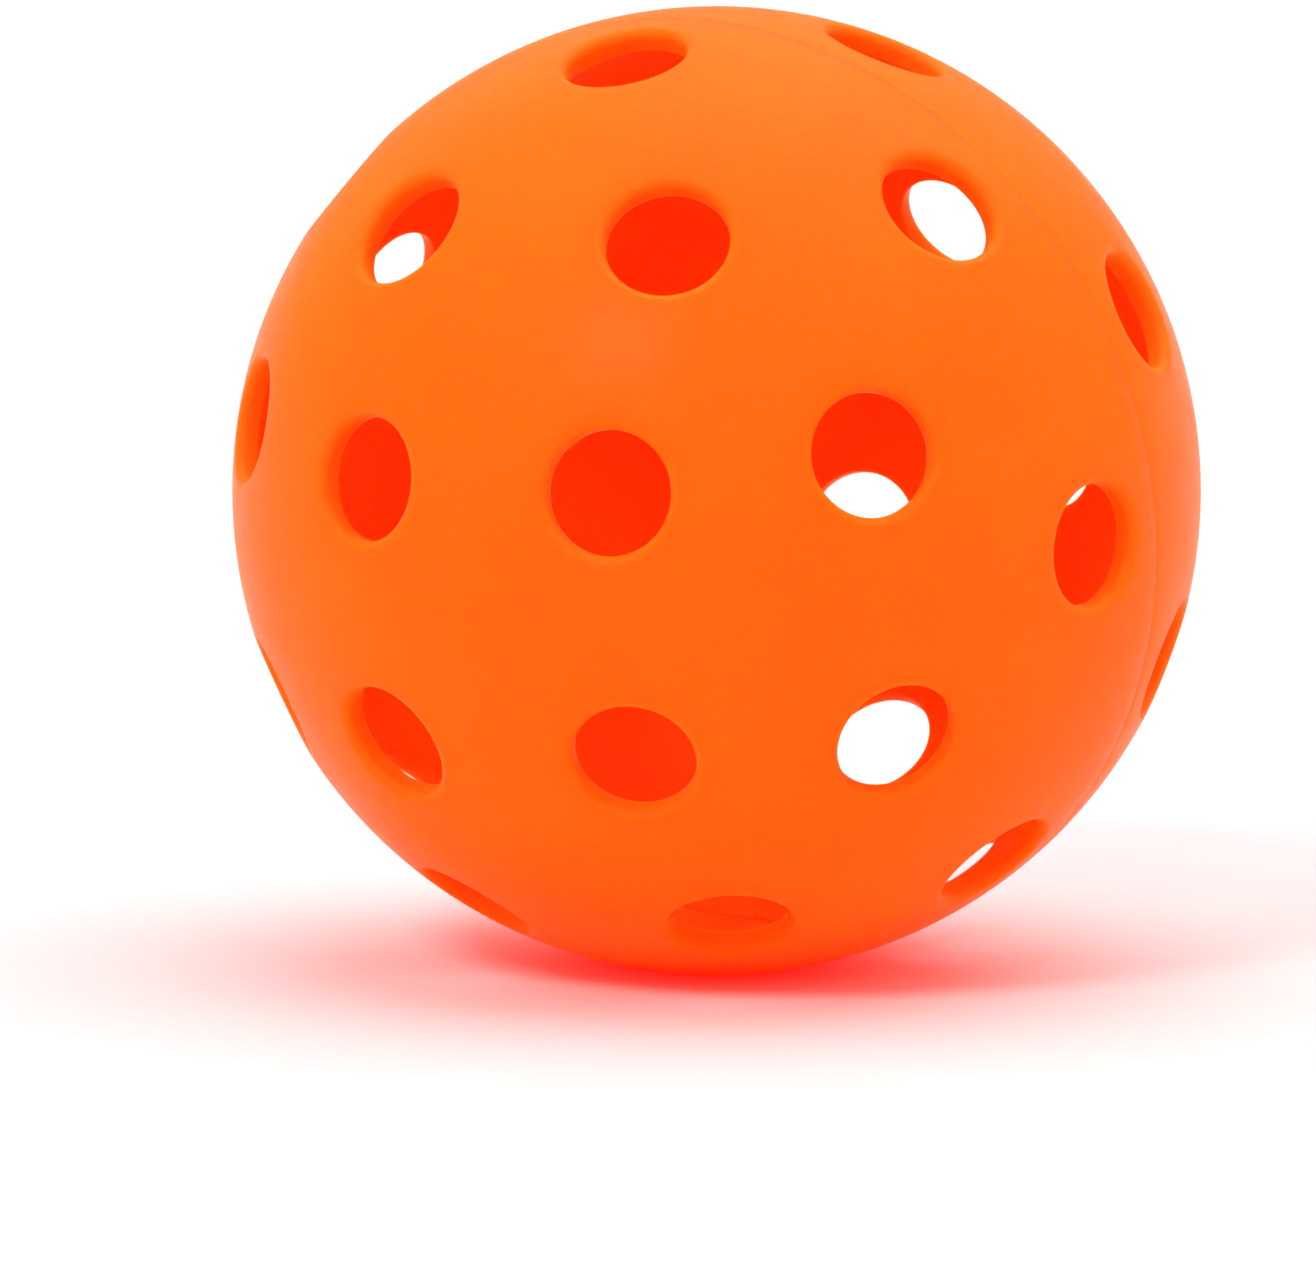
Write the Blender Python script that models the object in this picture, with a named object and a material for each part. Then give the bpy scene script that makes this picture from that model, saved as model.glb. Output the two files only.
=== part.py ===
"""Outdoor pickleball: two perforated half shells joined by a welded lap joint.

Blender 4.5, metres, +Z up. The origin is the centre of the ball.

The half shells are turned about the moulding axis, the line through both poles, and the
weld runs round the equator between them. Both shells carry the same pattern of twenty
holes. The rear one is the front one turned over about a line in the plane of the weld, so
its belt holes lie between those of the front shell.

A ball comes to rest over a hole, sitting on the rim. So here the moulding axis points
forwards, to -Y, and dips until one belt hole of the front shell faces straight down.
"""

import math

import bmesh
import bpy
from mathutils import Matrix, Vector

# Driving dimensions, in metres.
BALL_DIAMETER = 0.074
WALL = 0.00175
HOLE_DIAMETER = 0.0091
GAP = 0.0003  # clearance between neighbouring solids

# Where the holes are, from the pole to the weld: latitude, number of holes and the
# longitude of the first one, in degrees. The front pole is at latitude 90.
POLE_RING = (66.9, 4, 45.0)
MIDDLE_RING = (39.0, 8, 22.5)
BELT_RING = (12.2, 8, 0.0)
HOLE_RINGS = (POLE_RING, MIDDLE_RING, BELT_RING)
TURN_OVER_LONGITUDE = 11.25  # the line in the weld plane that maps one shell to the other

# The lap joint: a lip on the front shell's inner half goes into the rear shell.
LIP_THICKNESS = 0.00075
LIP_LENGTH = 0.0015
WELD_WIRE_RADIUS = 0.00035

# How finely the round shapes are divided.
TURN_STEPS = 40
ARC_STEPS = 9
HOLE_SIDES = 20
WELD_SIDES = 8

OUTER_RADIUS = BALL_DIAMETER / 2
INNER_RADIUS = OUTER_RADIUS - WALL
EDGE_HEIGHT = GAP / 2  # each shell stops this far short of the weld plane
LIP_INNER_RADIUS = math.sqrt(INNER_RADIUS**2 - LIP_LENGTH**2)
LIP_OUTER_RADIUS = LIP_INNER_RADIUS + LIP_THICKNESS
REBATE_RADIUS = LIP_OUTER_RADIUS + GAP
REBATE_DEPTH = LIP_LENGTH + GAP
WELD_RING_RADIUS = LIP_INNER_RADIUS - GAP - WELD_WIRE_RADIUS
LIE_DIP = BELT_RING[0]  # turns the belt hole at longitude -90 to face straight down
CUTTER_START = 0.8 * OUTER_RADIUS
CUTTER_END = 1.2 * OUTER_RADIUS

ORANGE = (1.0, 0.16, 0.008, 1.0)
WELD_ORANGE = (0.9, 0.12, 0.006, 1.0)


def clear_scene():
    """Removes every object that the scene starts with."""
    for obj in list(bpy.data.objects):
        bpy.data.objects.remove(obj, do_unlink=True)


def plastic(name, colour, roughness):
    """A plain moulded plastic."""
    material = bpy.data.materials.new(name)
    material.use_nodes = True
    shader = material.node_tree.nodes["Principled BSDF"]
    shader.inputs["Base Color"].default_value = colour
    shader.inputs["Roughness"].default_value = roughness
    shader.inputs["Metallic"].default_value = 0.0
    return material


def arc(radius, start_angle, end_angle, steps):
    """Points (r, z) on a circle about the origin, angles in radians above the equator."""
    points = []
    for step in range(steps + 1):
        angle = start_angle + (end_angle - start_angle) * step / steps
        points.append((radius * math.cos(angle), radius * math.sin(angle)))
    return points


def latitude_at(radius, height):
    """The latitude at which a circle of this radius passes this height."""
    return math.asin(height / radius)


def front_profile():
    """The front shell's section: out over the pole, down to the lip and back inside."""
    outside = arc(OUTER_RADIUS, math.pi / 2, latitude_at(OUTER_RADIUS, EDGE_HEIGHT), ARC_STEPS)
    lip = [
        (LIP_OUTER_RADIUS, EDGE_HEIGHT),
        (LIP_OUTER_RADIUS, -LIP_LENGTH),
        (LIP_INNER_RADIUS, -LIP_LENGTH),
    ]
    inside = arc(INNER_RADIUS, 0.0, math.pi / 2, ARC_STEPS)
    return outside + lip + inside


def rear_profile():
    """The rear shell's section, drawn with its own pole upwards as the front one is."""
    outside = arc(OUTER_RADIUS, math.pi / 2, latitude_at(OUTER_RADIUS, EDGE_HEIGHT), ARC_STEPS)
    shoulder_radius = math.sqrt(INNER_RADIUS**2 - REBATE_DEPTH**2)
    rebate = [
        (REBATE_RADIUS, EDGE_HEIGHT),
        (REBATE_RADIUS, REBATE_DEPTH),
        (shoulder_radius, REBATE_DEPTH),
    ]
    inside_start = latitude_at(INNER_RADIUS, REBATE_DEPTH)
    inside = arc(INNER_RADIUS, inside_start, math.pi / 2, ARC_STEPS)[1:]
    return outside + rebate + inside


def turned_shape(profile):
    """A closed body turned about Z. A profile starts and ends on the axis."""
    mesh = bmesh.new()
    rings = []
    for r, z in profile:
        if r < GAP / 10:
            rings.append([mesh.verts.new((0.0, 0.0, z))])
            continue
        ring = []
        for step in range(TURN_STEPS):
            angle = math.tau * step / TURN_STEPS
            ring.append(mesh.verts.new((r * math.cos(angle), r * math.sin(angle), z)))
        rings.append(ring)
    for upper, lower in zip(rings, rings[1:]):
        for step in range(TURN_STEPS):
            after = (step + 1) % TURN_STEPS
            corners = [upper[step % len(upper)], lower[step % len(lower)]]
            corners += [lower[after % len(lower)], upper[after % len(upper)]]
            mesh.faces.new(list(dict.fromkeys(corners)))
    bmesh.ops.recalc_face_normals(mesh, faces=mesh.faces)
    return mesh


def object_from(name, mesh, material, parent):
    """A named object made from a bmesh, shaded smooth but for its sharp edges."""
    data = bpy.data.meshes.new(name)
    mesh.to_mesh(data)
    mesh.free()
    data.shade_smooth()
    data.set_sharp_from_angle(angle=math.radians(30))
    obj = bpy.data.objects.new(name, data)
    obj.parent = parent
    if material:
        data.materials.append(material)
    bpy.context.scene.collection.objects.link(obj)
    return obj


def hole_directions():
    """Unit vectors from the centre through each hole of one shell, its pole at +Z."""
    directions = []
    for latitude, count, first_longitude in HOLE_RINGS:
        up = math.radians(latitude)
        for index in range(count):
            around = math.radians(first_longitude + 360.0 * index / count)
            across = math.cos(up)
            directions.append(
                Vector((across * math.cos(around), across * math.sin(around), math.sin(up)))
            )
    return directions


def hole_cutter(name, parent):
    """One guide object with a radial cylinder for each hole."""
    mesh = bmesh.new()
    middle = (CUTTER_START + CUTTER_END) / 2
    for direction in hole_directions():
        turn = direction.to_track_quat("Z", "Y").to_matrix().to_4x4()
        bmesh.ops.create_cone(
            mesh,
            cap_ends=True,
            segments=HOLE_SIDES,
            radius1=HOLE_DIAMETER / 2,
            radius2=HOLE_DIAMETER / 2,
            depth=CUTTER_END - CUTTER_START,
            matrix=Matrix.Translation(direction * middle) @ turn,
        )
    cutter = object_from(name, mesh, None, parent)
    cutter.hide_render = True
    cutter.display_type = "WIRE"
    return cutter


def half_shell(name, profile, material, parent):
    """A turned shell with its twenty holes cut through the wall."""
    shell = object_from(name, turned_shape(profile), material, parent)
    cut = shell.modifiers.new("holes", "BOOLEAN")
    cut.operation = "DIFFERENCE"
    cut.solver = "EXACT"
    cut.object = hole_cutter(name + "_holes", parent)
    return shell


def weld_ring(name, material, parent):
    """The bead that the weld squeezes inwards, a thin ring over the end of the lip."""
    mesh = bmesh.new()
    height = -(LIP_LENGTH + REBATE_DEPTH) / 2
    rings = []
    for step in range(TURN_STEPS):
        around = math.tau * step / TURN_STEPS
        ring = []
        for side in range(WELD_SIDES):
            angle = math.tau * side / WELD_SIDES
            r = WELD_RING_RADIUS + WELD_WIRE_RADIUS * math.cos(angle)
            z = height + WELD_WIRE_RADIUS * math.sin(angle)
            ring.append(mesh.verts.new((r * math.cos(around), r * math.sin(around), z)))
        rings.append(ring)
    for step in range(TURN_STEPS):
        here = rings[step]
        after = rings[(step + 1) % TURN_STEPS]
        for side in range(WELD_SIDES):
            up = (side + 1) % WELD_SIDES
            mesh.faces.new((here[side], after[side], after[up], here[up]))
    bmesh.ops.recalc_face_normals(mesh, faces=mesh.faces)
    return object_from(name, mesh, material, parent)


def axis_empty(name, matrix, parent=None):
    """An empty that carries a frame; it has no shape."""
    empty = bpy.data.objects.new(name, None)
    bpy.context.scene.collection.objects.link(empty)
    empty.parent = parent
    empty.matrix_local = matrix
    return empty


def build_ball():
    lie = Matrix.Rotation(math.radians(90.0 + LIE_DIP), 4, "X")
    moulding_axis = axis_empty("moulding_axis", lie)
    turn_over_line = Vector(
        (
            math.cos(math.radians(TURN_OVER_LONGITUDE)),
            math.sin(math.radians(TURN_OVER_LONGITUDE)),
            0.0,
        )
    )
    turned_over = Matrix.Rotation(math.pi, 4, turn_over_line)
    rear_axis = axis_empty("rear_axis", turned_over, moulding_axis)

    shell_plastic = plastic("shell_plastic", ORANGE, 0.42)
    weld_plastic = plastic("weld_plastic", WELD_ORANGE, 0.3)
    half_shell("front_shell", front_profile(), shell_plastic, moulding_axis)
    half_shell("rear_shell", rear_profile(), shell_plastic, rear_axis)
    weld_ring("weld_ring", weld_plastic, moulding_axis)


clear_scene()
build_ball()
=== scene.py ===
"""Looks of a perforated plastic ball: fine shells with rounded holes, a weld bead and a studio."""

import math

import bmesh
import bpy
from mathutils import Matrix, Vector
from mathutils.geometry import delaunay_2d_cdt


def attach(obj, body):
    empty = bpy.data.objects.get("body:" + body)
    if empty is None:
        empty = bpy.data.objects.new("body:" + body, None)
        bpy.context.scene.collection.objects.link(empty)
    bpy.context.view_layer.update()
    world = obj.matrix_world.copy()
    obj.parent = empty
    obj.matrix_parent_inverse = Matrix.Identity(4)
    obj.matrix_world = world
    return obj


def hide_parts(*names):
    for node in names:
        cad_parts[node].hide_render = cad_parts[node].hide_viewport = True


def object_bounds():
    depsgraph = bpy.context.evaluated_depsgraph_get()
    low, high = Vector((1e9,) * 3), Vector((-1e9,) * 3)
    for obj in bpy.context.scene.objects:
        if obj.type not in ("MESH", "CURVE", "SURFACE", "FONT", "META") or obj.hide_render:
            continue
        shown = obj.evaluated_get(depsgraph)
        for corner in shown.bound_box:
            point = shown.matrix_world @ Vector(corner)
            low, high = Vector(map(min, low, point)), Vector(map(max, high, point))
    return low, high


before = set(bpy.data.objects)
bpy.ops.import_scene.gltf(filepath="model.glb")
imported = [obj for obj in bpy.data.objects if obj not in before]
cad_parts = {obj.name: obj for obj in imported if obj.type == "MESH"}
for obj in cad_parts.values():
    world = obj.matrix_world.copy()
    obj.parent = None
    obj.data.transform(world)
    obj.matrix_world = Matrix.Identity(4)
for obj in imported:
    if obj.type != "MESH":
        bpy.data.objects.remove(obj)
cad_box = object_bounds()

MM = 0.001

# The ball, in metres and degrees. The radius and the floor come from the frame. The rest is
# the CAD solids' design, but for the rounded rims: theirs are sharp.
RADIUS = (cad_box[1].x - cad_box[0].x) / 2
FLOOR_HEIGHT = cad_box[0].z
WALL = 1.75 * MM
INNER_RADIUS = RADIUS - WALL
HOLE_RADIUS = 4.55 * MM
OUTER_ROUNDING = 0.7 * MM  # of a hole's rim, on the outside
INNER_ROUNDING = 0.25 * MM
POLE_RING = (66.9, 4, 45.0)  # latitude, number of holes, longitude of the first
MIDDLE_RING = (39.0, 8, 22.5)
BELT_RING = (12.2, 8, 0.0)
HOLE_RINGS = (POLE_RING, MIDDLE_RING, BELT_RING)
TURN_OVER_LONGITUDE = 11.25  # of the line that the front shell turns over about
LIE_DIP = BELT_RING[0]  # sets the ball down on a belt hole

# The lap joint: the front shell's lip goes into the rear shell. Heights are from the weld
# plane, towards the pole of the shell they belong to.
SEAM_HALF_GAP = 0.002 * MM
SEAM_ROUNDING = 0.005 * MM
SEAM_CORNER = 0.3 * SEAM_ROUNDING  # inset of the point halfway round
LIP_LENGTH = 1.5 * MM
LIP_THICKNESS = 0.72 * MM
LIP_RADIUS = INNER_RADIUS + LIP_THICKNESS  # to the lip's outer face
LIP_BEVEL = 0.1 * MM
LIP_CLEARANCE = 0.03 * MM
INNER_EDGE_FRONT = 0.05 * MM  # where the spherical inner skin ends
INNER_EDGE_REAR = LIP_LENGTH + LIP_CLEARANCE

# The bead of plastic that the weld squeezes inwards, over the end of the lip.
BEAD_WIDTH = 1.3 * MM
BEAD_HEIGHT = 0.15 * MM
BEAD_CLEARANCE = 0.01 * MM
BEAD_SIDES = 10
BEAD_WAVES = ((5, 0.12, 0.4), (11, 0.09, 1.9), (23, 0.06, 3.1))  # count, share of size, start

# How fine the meshes are.
HOLE_STEPS = 64
EDGE_STEPS = 288
RIM_RING_WIDTHS = (0.0, 0.35 * MM, 0.85 * MM, 1.55 * MM)  # rings of points round each hole
RIM_FADE = 0.7 * MM  # how fast the rim attribute fades away from a hole
EDGE_CLEARANCE = 0.4 * MM  # between those rings and the shell's edge
SPACING = 1.1 * MM  # between the points of the open skin
SPACING_FROM_RINGS = 0.55 * SPACING
SPACING_FROM_EDGE = 0.75 * SPACING
MERGE_DISTANCE = 1e-7  # for points in the flat map
ROUNDING_STEPS = 7
WALL_STEPS = 2
SHARP_ANGLE = 50  # degrees between faces, from which an edge is shaded sharp

# The plastic. Its fluorescent pigment gives back more red than falls on it, but here that is a
# painted glow: a red emission that shines the same in any light, even in the dark, and tints the
# floor red under the ball.
BODY_ORANGE = (1.0, 0.128, 0.0038, 1.0)
PALE_ORANGE = (1.0, 0.142, 0.0046, 1.0)
# Painted shade: the holes' rims and walls are a touch deeper orange than the body, to tone down the
# pale light the rounded rims catch.
RIM_SHADE_ORANGE = (1.0, 0.124, 0.0038, 1.0)
PAINTED_GLOW_RED = (1.0, 0.01, 0.0, 1.0)
PAINTED_GLOW_STRENGTH = 0.7
SCATTER_DEPTH = 8 * MM
SCATTER_RATIOS = (1.0, 0.3, 0.05)  # red goes deepest
SURFACE_GLOSS = 0.035  # low, for a dull skin
MOTTLE = (14 * MM, 3)  # size and detail of the clouds of paler orange
PATCHES = (3 * MM, 4)  # of the duller and glossier patches
GRAIN = (0.35 * MM, 2)
GRAIN_HEIGHT = 0.02 * MM
NOISE_RANGE = (0.3, 0.7)  # that most of a noise texture lies in
SHELL_ROUGHNESS = (0.3, 0.38)
SHELL_GRAIN = 0.25
BEAD_ROUGHNESS = (0.22, 0.34)
BEAD_GRAIN = 0.08

# The camera: a long lens from 15 radii away.
SENSOR = 36.0
CAMERA_AZIMUTH = 28.5
CAMERA_ELEVATION = 4.93
CAMERA_ROLL = 0.75
CAMERA_DISTANCE = 15 * RADIUS
BALL_WIDTH_IN_FRAME = 0.736  # as a share of the frame's width, like the next two
BALL_RIGHT_OF_CENTRE = 0.0443
BALL_ABOVE_CENTRE = 0.1135

# The studio, with light in the units of Blender's sun lamps and world.
FLOOR_HALF_SIZE = 60.0  # metres, far enough to reach the horizon
FLOOR_GREY = 0.71
FLOOR_ROUGHNESS = 0.9
COVE = 1.0  # brightness of the white wall all round the floor
COVE_TOP = 0.12  # the sine of its elevation, seen from the ball
COVE_FADE = 0.04
SKY_LOW = 0.04  # the dome's brightness at the horizon
SKY_OVERHEAD = 1.35
TOP_SOFTBOX = (140, 77, 1.3, 60)  # azimuth, elevation, irradiance and width
FRONT_SOFTBOX = (0, 39, 1.15, 14)
MAX_BOUNCES = 10
DIFFUSE_BOUNCES = 8


def hole_axes():
    """Unit vectors through the holes of one shell, its pole at +Z."""
    axes = []
    for latitude, count, first in HOLE_RINGS:
        up = math.radians(latitude)
        across = math.cos(up)
        for index in range(count):
            around = math.radians(first + 360 * index / count)
            axes.append(Vector((across * math.cos(around), across * math.sin(around), math.sin(up))))
    return axes


def circle_round(axis, out, along, turned=0.0):
    """A circle about an axis through the centre, turned by a part of a step."""
    side = axis.orthogonal().normalized()
    other = axis.cross(side)
    points = []
    for step in range(HOLE_STEPS):
        angle = math.tau * (step + turned) / HOLE_STEPS
        points.append(axis * along + (side * math.cos(angle) + other * math.sin(angle)) * out)
    return points


def level_circle(out, height):
    """Points on a circle about Z."""
    points = []
    for step in range(EDGE_STEPS):
        angle = math.tau * step / EDGE_STEPS
        points.append(Vector((out * math.cos(angle), out * math.sin(angle), height)))
    return points


def rim_arc(centre_out, centre_along, radius, start, end):
    """(out, along) points on the rounding of a hole's rim."""
    profile = []
    for step in range(ROUNDING_STEPS + 1):
        angle = start + (end - start) * step / ROUNDING_STEPS
        profile.append(
            (centre_out + radius * math.cos(angle), centre_along + radius * math.sin(angle))
        )
    return profile


def hole_profile():
    """(out, along) points through a hole, from the outer sphere to the inner one."""
    out = HOLE_RADIUS + OUTER_ROUNDING
    along = math.sqrt((RADIUS - OUTER_ROUNDING) ** 2 - out**2)
    top = rim_arc(out, along, OUTER_ROUNDING, math.atan2(along, out), math.pi)
    out = HOLE_RADIUS + INNER_ROUNDING
    along = math.sqrt((INNER_RADIUS + INNER_ROUNDING) ** 2 - out**2)
    bottom = rim_arc(out, along, INNER_ROUNDING, math.pi, math.pi + math.atan2(along, out))
    wall = []
    for step in range(1, WALL_STEPS):
        height = top[-1][1] + (bottom[0][1] - top[-1][1]) * step / WALL_STEPS
        wall.append((HOLE_RADIUS, height))
    return top + wall + bottom


def sphere_out(radius, height):
    """How far out from the pole axis a sphere is at a height."""
    return math.sqrt(radius**2 - height**2)


def front_joint():
    """(out, height) points from the outer skin's edge, round the lip and back inside."""
    return [
        (RADIUS - SEAM_CORNER, SEAM_HALF_GAP + SEAM_CORNER),
        (RADIUS - SEAM_ROUNDING, SEAM_HALF_GAP),
        (LIP_RADIUS, SEAM_HALF_GAP),
        (LIP_RADIUS, LIP_BEVEL - LIP_LENGTH),
        (LIP_RADIUS - LIP_BEVEL, -LIP_LENGTH),
        (sphere_out(INNER_RADIUS, LIP_LENGTH), -LIP_LENGTH),
    ]


def rear_joint():
    """(out, height) points of the rebate that takes the lip."""
    return [
        (RADIUS - SEAM_CORNER, SEAM_HALF_GAP + SEAM_CORNER),
        (RADIUS - SEAM_ROUNDING, SEAM_HALF_GAP),
        (LIP_RADIUS + LIP_CLEARANCE, SEAM_HALF_GAP),
        (LIP_RADIUS + LIP_CLEARANCE, INNER_EDGE_REAR),
    ]


class Shell:
    """Gathers one shell's points and faces, and how near each point is to a hole's rim."""

    def __init__(self):
        self.points = []
        self.faces = []
        self.rim = []

    def add(self, points, rim=0.0):
        """Adds points that are all as near a rim, and returns their indices."""
        first = len(self.points)
        self.points += points
        self.rim += [rim] * len(points)
        return list(range(first, len(self.points)))

    def band(self, ring, after):
        """Quads between two closed rings of as many points."""
        count = len(ring)
        for step in range(count):
            ahead = (step + 1) % count
            self.faces.append((ring[step], ring[ahead], after[ahead], after[step]))


def spread_points(radius):
    """Evenly spread points over the half sphere about +Z, along a spiral."""
    area_each = SPACING**2 * math.sqrt(3) / 2
    count = int(math.tau * radius**2 / area_each)
    golden_angle = math.pi * (3 - math.sqrt(5))
    points = []
    for index in range(count):
        height = 1 - (index + 0.5) / count
        across = math.sqrt(1 - height**2)
        angle = golden_angle * index
        points.append(Vector((across * math.cos(angle), across * math.sin(angle), height)) * radius)
    return points


def flat_map(points, radius):
    """The points in the plane, as seen from the far pole: circles stay circles."""
    flat = []
    for point in points:
        flat.append(Vector((point.x, point.y)) / (radius + point.z))
    return flat


def add_skin(shell, radius, rim_out, edge_height):
    """A triangulated part of a sphere, open at its holes. Returns its hole and edge rings."""
    axes = hole_axes()
    rim_angle = math.asin(rim_out / radius)
    rims = []
    used = []
    for axis in axes:
        for order, width in enumerate(RIM_RING_WIDTHS):
            angle = rim_angle + width / radius
            half_step = order % 2 / 2  # so that each ring's points lie between the last one's
            ring = circle_round(axis, radius * math.sin(angle), radius * math.cos(angle), half_step)
            if order > 0:
                ring = [point for point in ring if point.z > edge_height + EDGE_CLEARANCE]
            indices = shell.add(ring, math.exp(-width / RIM_FADE))
            used += indices
            if order == 0:
                rims.append(indices)
    edge = shell.add(level_circle(sphere_out(radius, edge_height), edge_height))
    used += edge
    nearest = math.cos(rim_angle + (RIM_RING_WIDTHS[-1] + SPACING_FROM_RINGS) / radius)
    for point in spread_points(radius):
        clear_of_edge = point.z > edge_height + SPACING_FROM_EDGE
        if clear_of_edge and max(point.dot(axis) for axis in axes) < nearest * radius:
            used += shell.add([point])

    flat = flat_map([shell.points[index] for index in used], radius)
    _, _, triangles, sources, _, _ = delaunay_2d_cdt(flat, [], [], 0, MERGE_DISTANCE)
    owner = {index: number for number, ring in enumerate(rims) for index in ring}
    for triangle in triangles:
        corners = tuple(used[sources[corner][0]] for corner in triangle)
        owners = {owner.get(corner) for corner in corners}
        across_hole = len(owners) == 1 and None not in owners
        if not across_hole:
            shell.faces.append(corners)
    return rims, edge


def shell_mesh(name, joint, inner_edge):
    """One closed shell with its twenty rounded holes, its pole at +Z."""
    shell = Shell()
    profile = hole_profile()
    outer_rims, outer_edge = add_skin(shell, RADIUS, profile[0][0], SEAM_HALF_GAP + SEAM_ROUNDING)
    inner_rims, inner_edge_ring = add_skin(shell, INNER_RADIUS, profile[-1][0], inner_edge)
    for axis, ring, bottom in zip(hole_axes(), outer_rims, inner_rims):
        for out, along in profile[1:-1]:
            after = shell.add(circle_round(axis, out, along), 1.0)
            shell.band(ring, after)
            ring = after
        shell.band(ring, bottom)
    ring = outer_edge
    for out, height in joint:
        after = shell.add(level_circle(out, height))
        shell.band(ring, after)
        ring = after
    shell.band(ring, inner_edge_ring)

    mesh = bpy.data.meshes.new(name)
    mesh.from_pydata(shell.points, [], shell.faces)
    mesh.attributes.new("rim", "FLOAT", "POINT").data.foreach_set("value", shell.rim)
    face_outwards(mesh)
    return mesh


def bead_mesh(name):
    """A low bead on the inner skin, its size wavering a little along the weld."""
    points = []
    for step in range(EDGE_STEPS):
        around = math.tau * step / EDGE_STEPS
        size = 1.0
        for count, share, start in BEAD_WAVES:
            size += share * math.sin(count * around + start)
        for side in range(BEAD_SIDES):
            turn = math.tau * side / BEAD_SIDES
            latitude = (0.5 * BEAD_WIDTH * size * math.cos(turn) - LIP_LENGTH) / INNER_RADIUS
            rise = BEAD_HEIGHT * size * max(0.0, math.sin(turn))
            radius = INNER_RADIUS - BEAD_CLEARANCE - rise
            out = radius * math.cos(latitude)
            points.append(
                (out * math.cos(around), out * math.sin(around), radius * math.sin(latitude))
            )
    faces = []
    for step in range(EDGE_STEPS):
        here = step * BEAD_SIDES
        after = (step + 1) % EDGE_STEPS * BEAD_SIDES
        for side in range(BEAD_SIDES):
            up = (side + 1) % BEAD_SIDES
            faces.append((here + side, after + side, after + up, here + up))
    mesh = bpy.data.meshes.new(name)
    mesh.from_pydata(points, [], faces)
    face_outwards(mesh)
    return mesh


def face_outwards(mesh):
    """Turns a closed mesh's faces outwards and shades it smooth but for its sharp edges."""
    turned = bmesh.new()
    turned.from_mesh(mesh)
    bmesh.ops.recalc_face_normals(turned, faces=turned.faces)
    turned.to_mesh(mesh)
    turned.free()
    mesh.shade_smooth()
    mesh.set_sharp_from_angle(angle=math.radians(SHARP_ANGLE))


def add_piece(name, mesh, material, matrix, node):
    """Links a piece in place of a CAD node."""
    mesh.transform(matrix)
    mesh.materials.append(material)
    piece = bpy.data.objects.new(name, mesh)
    bpy.context.scene.collection.objects.link(piece)
    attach(piece, "root")
    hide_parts(node)


class Nodes:
    """A new material's node tree, with the few kinds of node that the plastics need."""

    def __init__(self, name):
        self.material = bpy.data.materials.new(name)
        self.material.use_nodes = True
        self.nodes = self.material.node_tree.nodes
        self.links = self.material.node_tree.links
        self.shader = self.nodes["Principled BSDF"]
        self.place = self.nodes.new("ShaderNodeTexCoord").outputs["Object"]

    def noise(self, size, detail):
        """Cloudy noise with features of about this size."""
        node = self.nodes.new("ShaderNodeTexNoise")
        node.inputs["Scale"].default_value = 1 / size
        node.inputs["Detail"].default_value = detail
        self.links.new(self.place, node.inputs["Vector"])
        return node.outputs["Fac"]

    def attribute(self, name):
        """A number that the mesh carries, or 0 on a mesh without it."""
        node = self.nodes.new("ShaderNodeAttribute")
        node.attribute_name = name
        return node.outputs["Fac"]

    def between(self, factor, low, high):
        """A value that goes from low to high as noise goes over its usual range."""
        node = self.nodes.new("ShaderNodeMapRange")
        node.inputs["From Min"].default_value = NOISE_RANGE[0]
        node.inputs["From Max"].default_value = NOISE_RANGE[1]
        node.inputs["To Min"].default_value = low
        node.inputs["To Max"].default_value = high
        self.links.new(factor, node.inputs["Value"])
        return node.outputs["Result"]

    def mix(self, factor, first, second):
        """A colour between two; each is a plain colour or another node's output."""
        node = self.nodes.new("ShaderNodeMix")
        node.data_type = "RGBA"
        colours = [socket for socket in node.inputs if socket.type == "RGBA"]
        for socket, colour in zip(colours, (first, second)):
            if isinstance(colour, tuple):
                socket.default_value = colour
            else:
                self.links.new(colour, socket)
        self.links.new(factor, node.inputs["Factor"])
        return next(socket for socket in node.outputs if socket.type == "RGBA")

    def bump(self, height, distance, strength):
        """Fine relief on the surface, from noise."""
        node = self.nodes.new("ShaderNodeBump")
        node.inputs["Distance"].default_value = distance
        node.inputs["Strength"].default_value = strength
        self.links.new(height, node.inputs["Height"])
        self.links.new(node.outputs["Normal"], self.shader.inputs["Normal"])


def plastic(name, roughness_range, grain_strength):
    """Translucent fluorescent orange polyethylene with a fine moulded skin and a painted red glow.
    """
    tree = Nodes(name)
    shader = tree.shader
    paleness = tree.between(tree.noise(*MOTTLE), 0.0, 1.0)
    body = tree.mix(paleness, BODY_ORANGE, PALE_ORANGE)
    # Painted shade near the holes, following the rim attribute.
    colour = tree.mix(tree.attribute("rim"), body, RIM_SHADE_ORANGE)
    tree.links.new(colour, shader.inputs["Base Color"])
    roughness = tree.between(tree.noise(*PATCHES), *roughness_range)
    tree.links.new(roughness, shader.inputs["Roughness"])
    tree.bump(tree.noise(*GRAIN), GRAIN_HEIGHT, grain_strength)
    shader.inputs["Specular IOR Level"].default_value = SURFACE_GLOSS
    shader.inputs["Subsurface Weight"].default_value = 1.0
    shader.inputs["Subsurface Radius"].default_value = SCATTER_RATIOS
    shader.inputs["Subsurface Scale"].default_value = SCATTER_DEPTH
    # Painted glow: the plastic emits red light of its own, whatever light falls on it.
    shader.inputs["Emission Color"].default_value = PAINTED_GLOW_RED
    shader.inputs["Emission Strength"].default_value = PAINTED_GLOW_STRENGTH
    return tree.material


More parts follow.
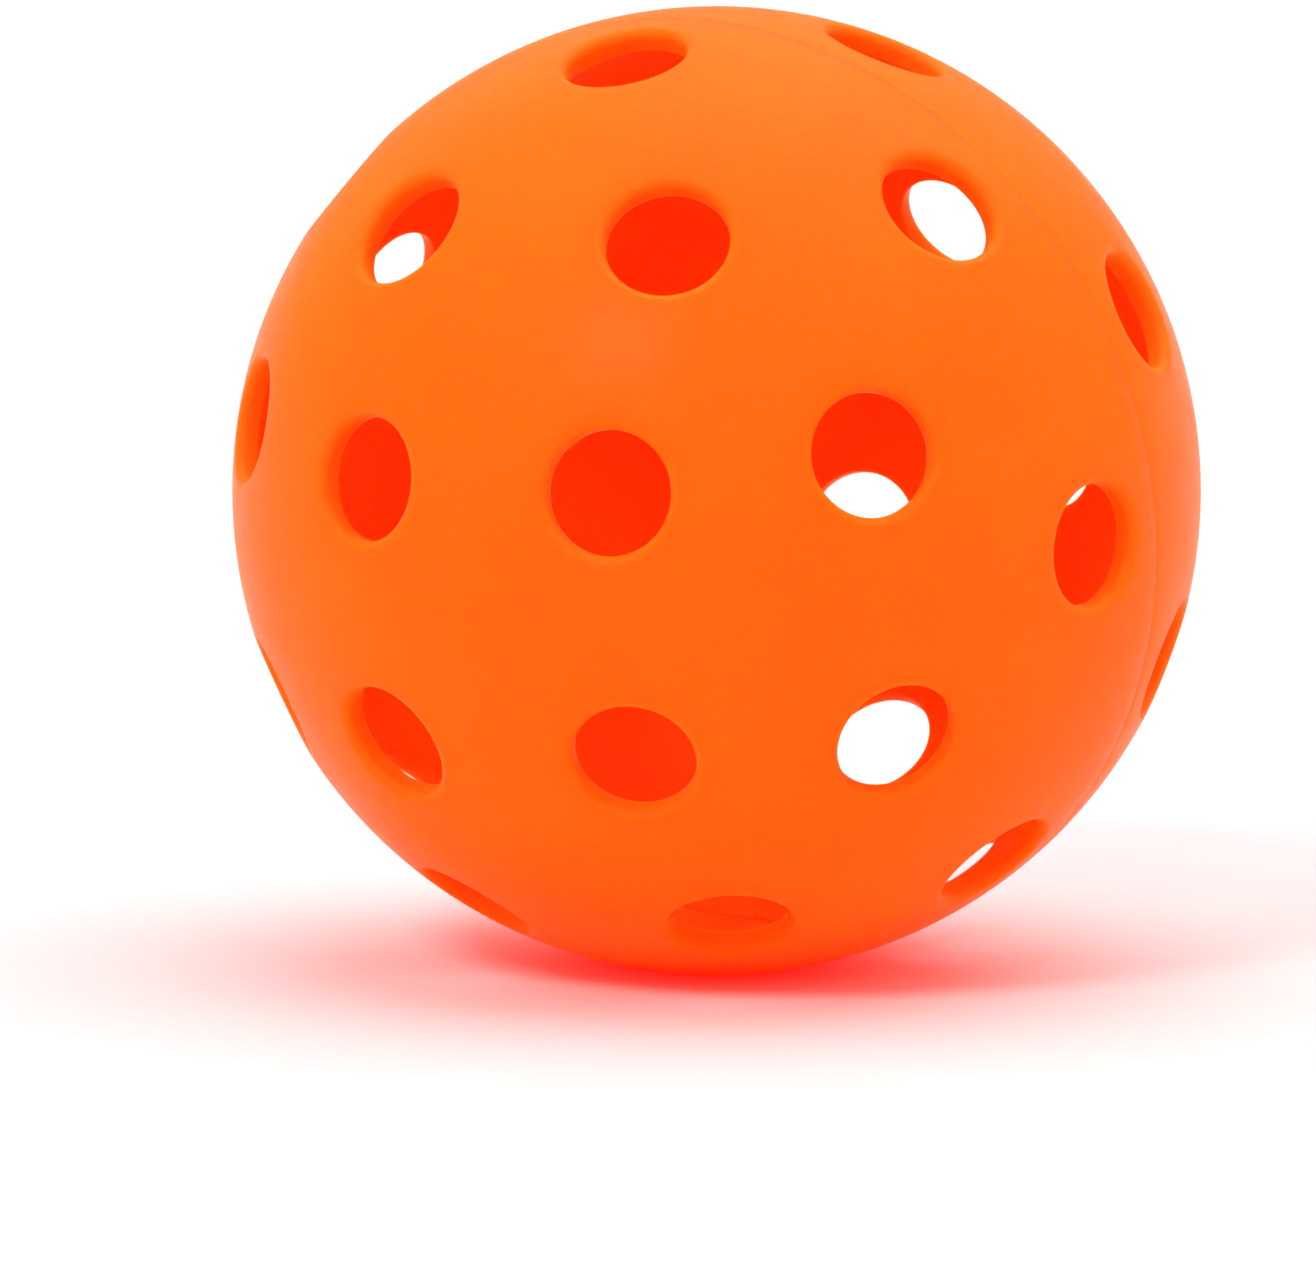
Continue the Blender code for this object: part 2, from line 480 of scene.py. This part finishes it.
def add_floor():
    """A matt pale floor that reaches the horizon."""
    material = bpy.data.materials.new("studio_floor")
    material.use_nodes = True
    shader = material.node_tree.nodes["Principled BSDF"]
    shader.inputs["Base Color"].default_value = (FLOOR_GREY, FLOOR_GREY, FLOOR_GREY, 1.0)
    shader.inputs["Roughness"].default_value = FLOOR_ROUGHNESS
    shader.inputs["Specular IOR Level"].default_value = 0.0
    half = FLOOR_HALF_SIZE
    outline = ((-half, -half), (half, -half), (half, half), (-half, half))
    corners = [(x, y, FLOOR_HEIGHT) for x, y in outline]
    mesh = bpy.data.meshes.new("studio_floor")
    mesh.from_pydata(corners, [], [(0, 1, 2, 3)])
    mesh.materials.append(material)
    floor = bpy.data.objects.new("studio_floor", mesh)
    bpy.context.scene.collection.objects.link(floor)


def direction_of(azimuth, elevation):
    """From the ball towards a light or a viewer, in degrees; azimuth 0 is in front, at -Y."""
    a = math.radians(azimuth)
    e = math.radians(elevation)
    return Vector((math.sin(a) * math.cos(e), -math.cos(a) * math.cos(e), math.sin(e)))


def add_far_softbox(name, azimuth, elevation, irradiance, width):
    """A round soft light far away, this many degrees wide, that lights all of the floor alike."""
    light = bpy.data.lights.new(name, "SUN")
    light.energy = irradiance
    light.angle = math.radians(width)
    lamp = bpy.data.objects.new(name, light)
    lamp.rotation_mode = "QUATERNION"
    lamp.rotation_quaternion = direction_of(azimuth, elevation).to_track_quat("Z", "Y")
    bpy.context.scene.collection.objects.link(lamp)


def add_sky():
    """A dome that grows brighter upwards, over a white cove that the floor runs into."""
    world = bpy.data.worlds.new("studio")
    world.use_nodes = True
    nodes = world.node_tree.nodes
    links = world.node_tree.links
    direction = nodes.new("ShaderNodeTexCoord")
    split = nodes.new("ShaderNodeSeparateXYZ")
    links.new(direction.outputs["Generated"], split.inputs["Vector"])
    brightness = nodes.new("ShaderNodeMath")
    brightness.operation = "MAXIMUM"
    cove = (COVE_TOP, COVE_TOP + COVE_FADE, COVE, 0.0)
    dome = (0.0, 1.0, SKY_LOW, SKY_OVERHEAD)
    for socket, levels in zip(brightness.inputs, (cove, dome)):
        ramp = nodes.new("ShaderNodeMapRange")
        for name, level in zip(("From Min", "From Max", "To Min", "To Max"), levels):
            ramp.inputs[name].default_value = level
        links.new(split.outputs["Z"], ramp.inputs["Value"])
        links.new(ramp.outputs["Result"], socket)
    links.new(brightness.outputs["Value"], nodes["Background"].inputs["Strength"])
    nodes["Background"].inputs["Color"].default_value = (1.0, 1.0, 1.0, 1.0)
    bpy.context.scene.world = world


def add_camera():
    """A long lens, aimed past the ball so that it sits right of and above the centre."""
    data = bpy.data.cameras.new("camera")
    data.sensor_width = SENSOR
    outline_slope = RADIUS / math.sqrt(CAMERA_DISTANCE**2 - RADIUS**2)
    focal_widths = BALL_WIDTH_IN_FRAME / (2 * outline_slope)
    data.lens = focal_widths * SENSOR
    data.clip_start = 10 * MM
    data.clip_end = 2 * FLOOR_HALF_SIZE
    camera = bpy.data.objects.new("camera", data)
    back = direction_of(CAMERA_AZIMUTH, CAMERA_ELEVATION)
    camera.location = back * CAMERA_DISTANCE
    level = back.to_track_quat("Z", "Y").to_matrix()
    roll = Matrix.Rotation(math.radians(CAMERA_ROLL), 3, "Z")
    left = Matrix.Rotation(math.atan(BALL_RIGHT_OF_CENTRE / focal_widths), 3, "Y")
    down = Matrix.Rotation(-math.atan(BALL_ABOVE_CENTRE / focal_widths), 3, "X")
    camera.rotation_mode = "QUATERNION"
    camera.rotation_quaternion = (level @ roll @ left @ down).to_quaternion()
    bpy.context.scene.collection.objects.link(camera)
    bpy.context.scene.camera = camera


lie = Matrix.Rotation(math.radians(90 + LIE_DIP), 4, "X")
turn_over = math.radians(TURN_OVER_LONGITUDE)
turned_over = Matrix.Rotation(math.pi, 4, Vector((math.cos(turn_over), math.sin(turn_over), 0)))

shell_plastic = plastic("shell_plastic_fine", SHELL_ROUGHNESS, SHELL_GRAIN)
weld_plastic = plastic("weld_plastic_fine", BEAD_ROUGHNESS, BEAD_GRAIN)
front = shell_mesh("front_shell_fine", front_joint(), INNER_EDGE_FRONT)
rear = shell_mesh("rear_shell_fine", rear_joint(), INNER_EDGE_REAR)
bead = bead_mesh("weld_bead")
add_piece("front_shell_fine", front, shell_plastic, lie, "front_shell")
add_piece("rear_shell_fine", rear, shell_plastic, lie @ turned_over, "rear_shell")
add_piece("weld_bead", bead, weld_plastic, lie, "weld_ring")

add_floor()
add_sky()
add_far_softbox("top_softbox", *TOP_SOFTBOX)
add_far_softbox("front_softbox", *FRONT_SOFTBOX)
add_camera()
bpy.context.scene.view_settings.view_transform = "Standard"
bpy.context.scene.cycles.max_bounces = MAX_BOUNCES
bpy.context.scene.cycles.diffuse_bounces = DIFFUSE_BOUNCES
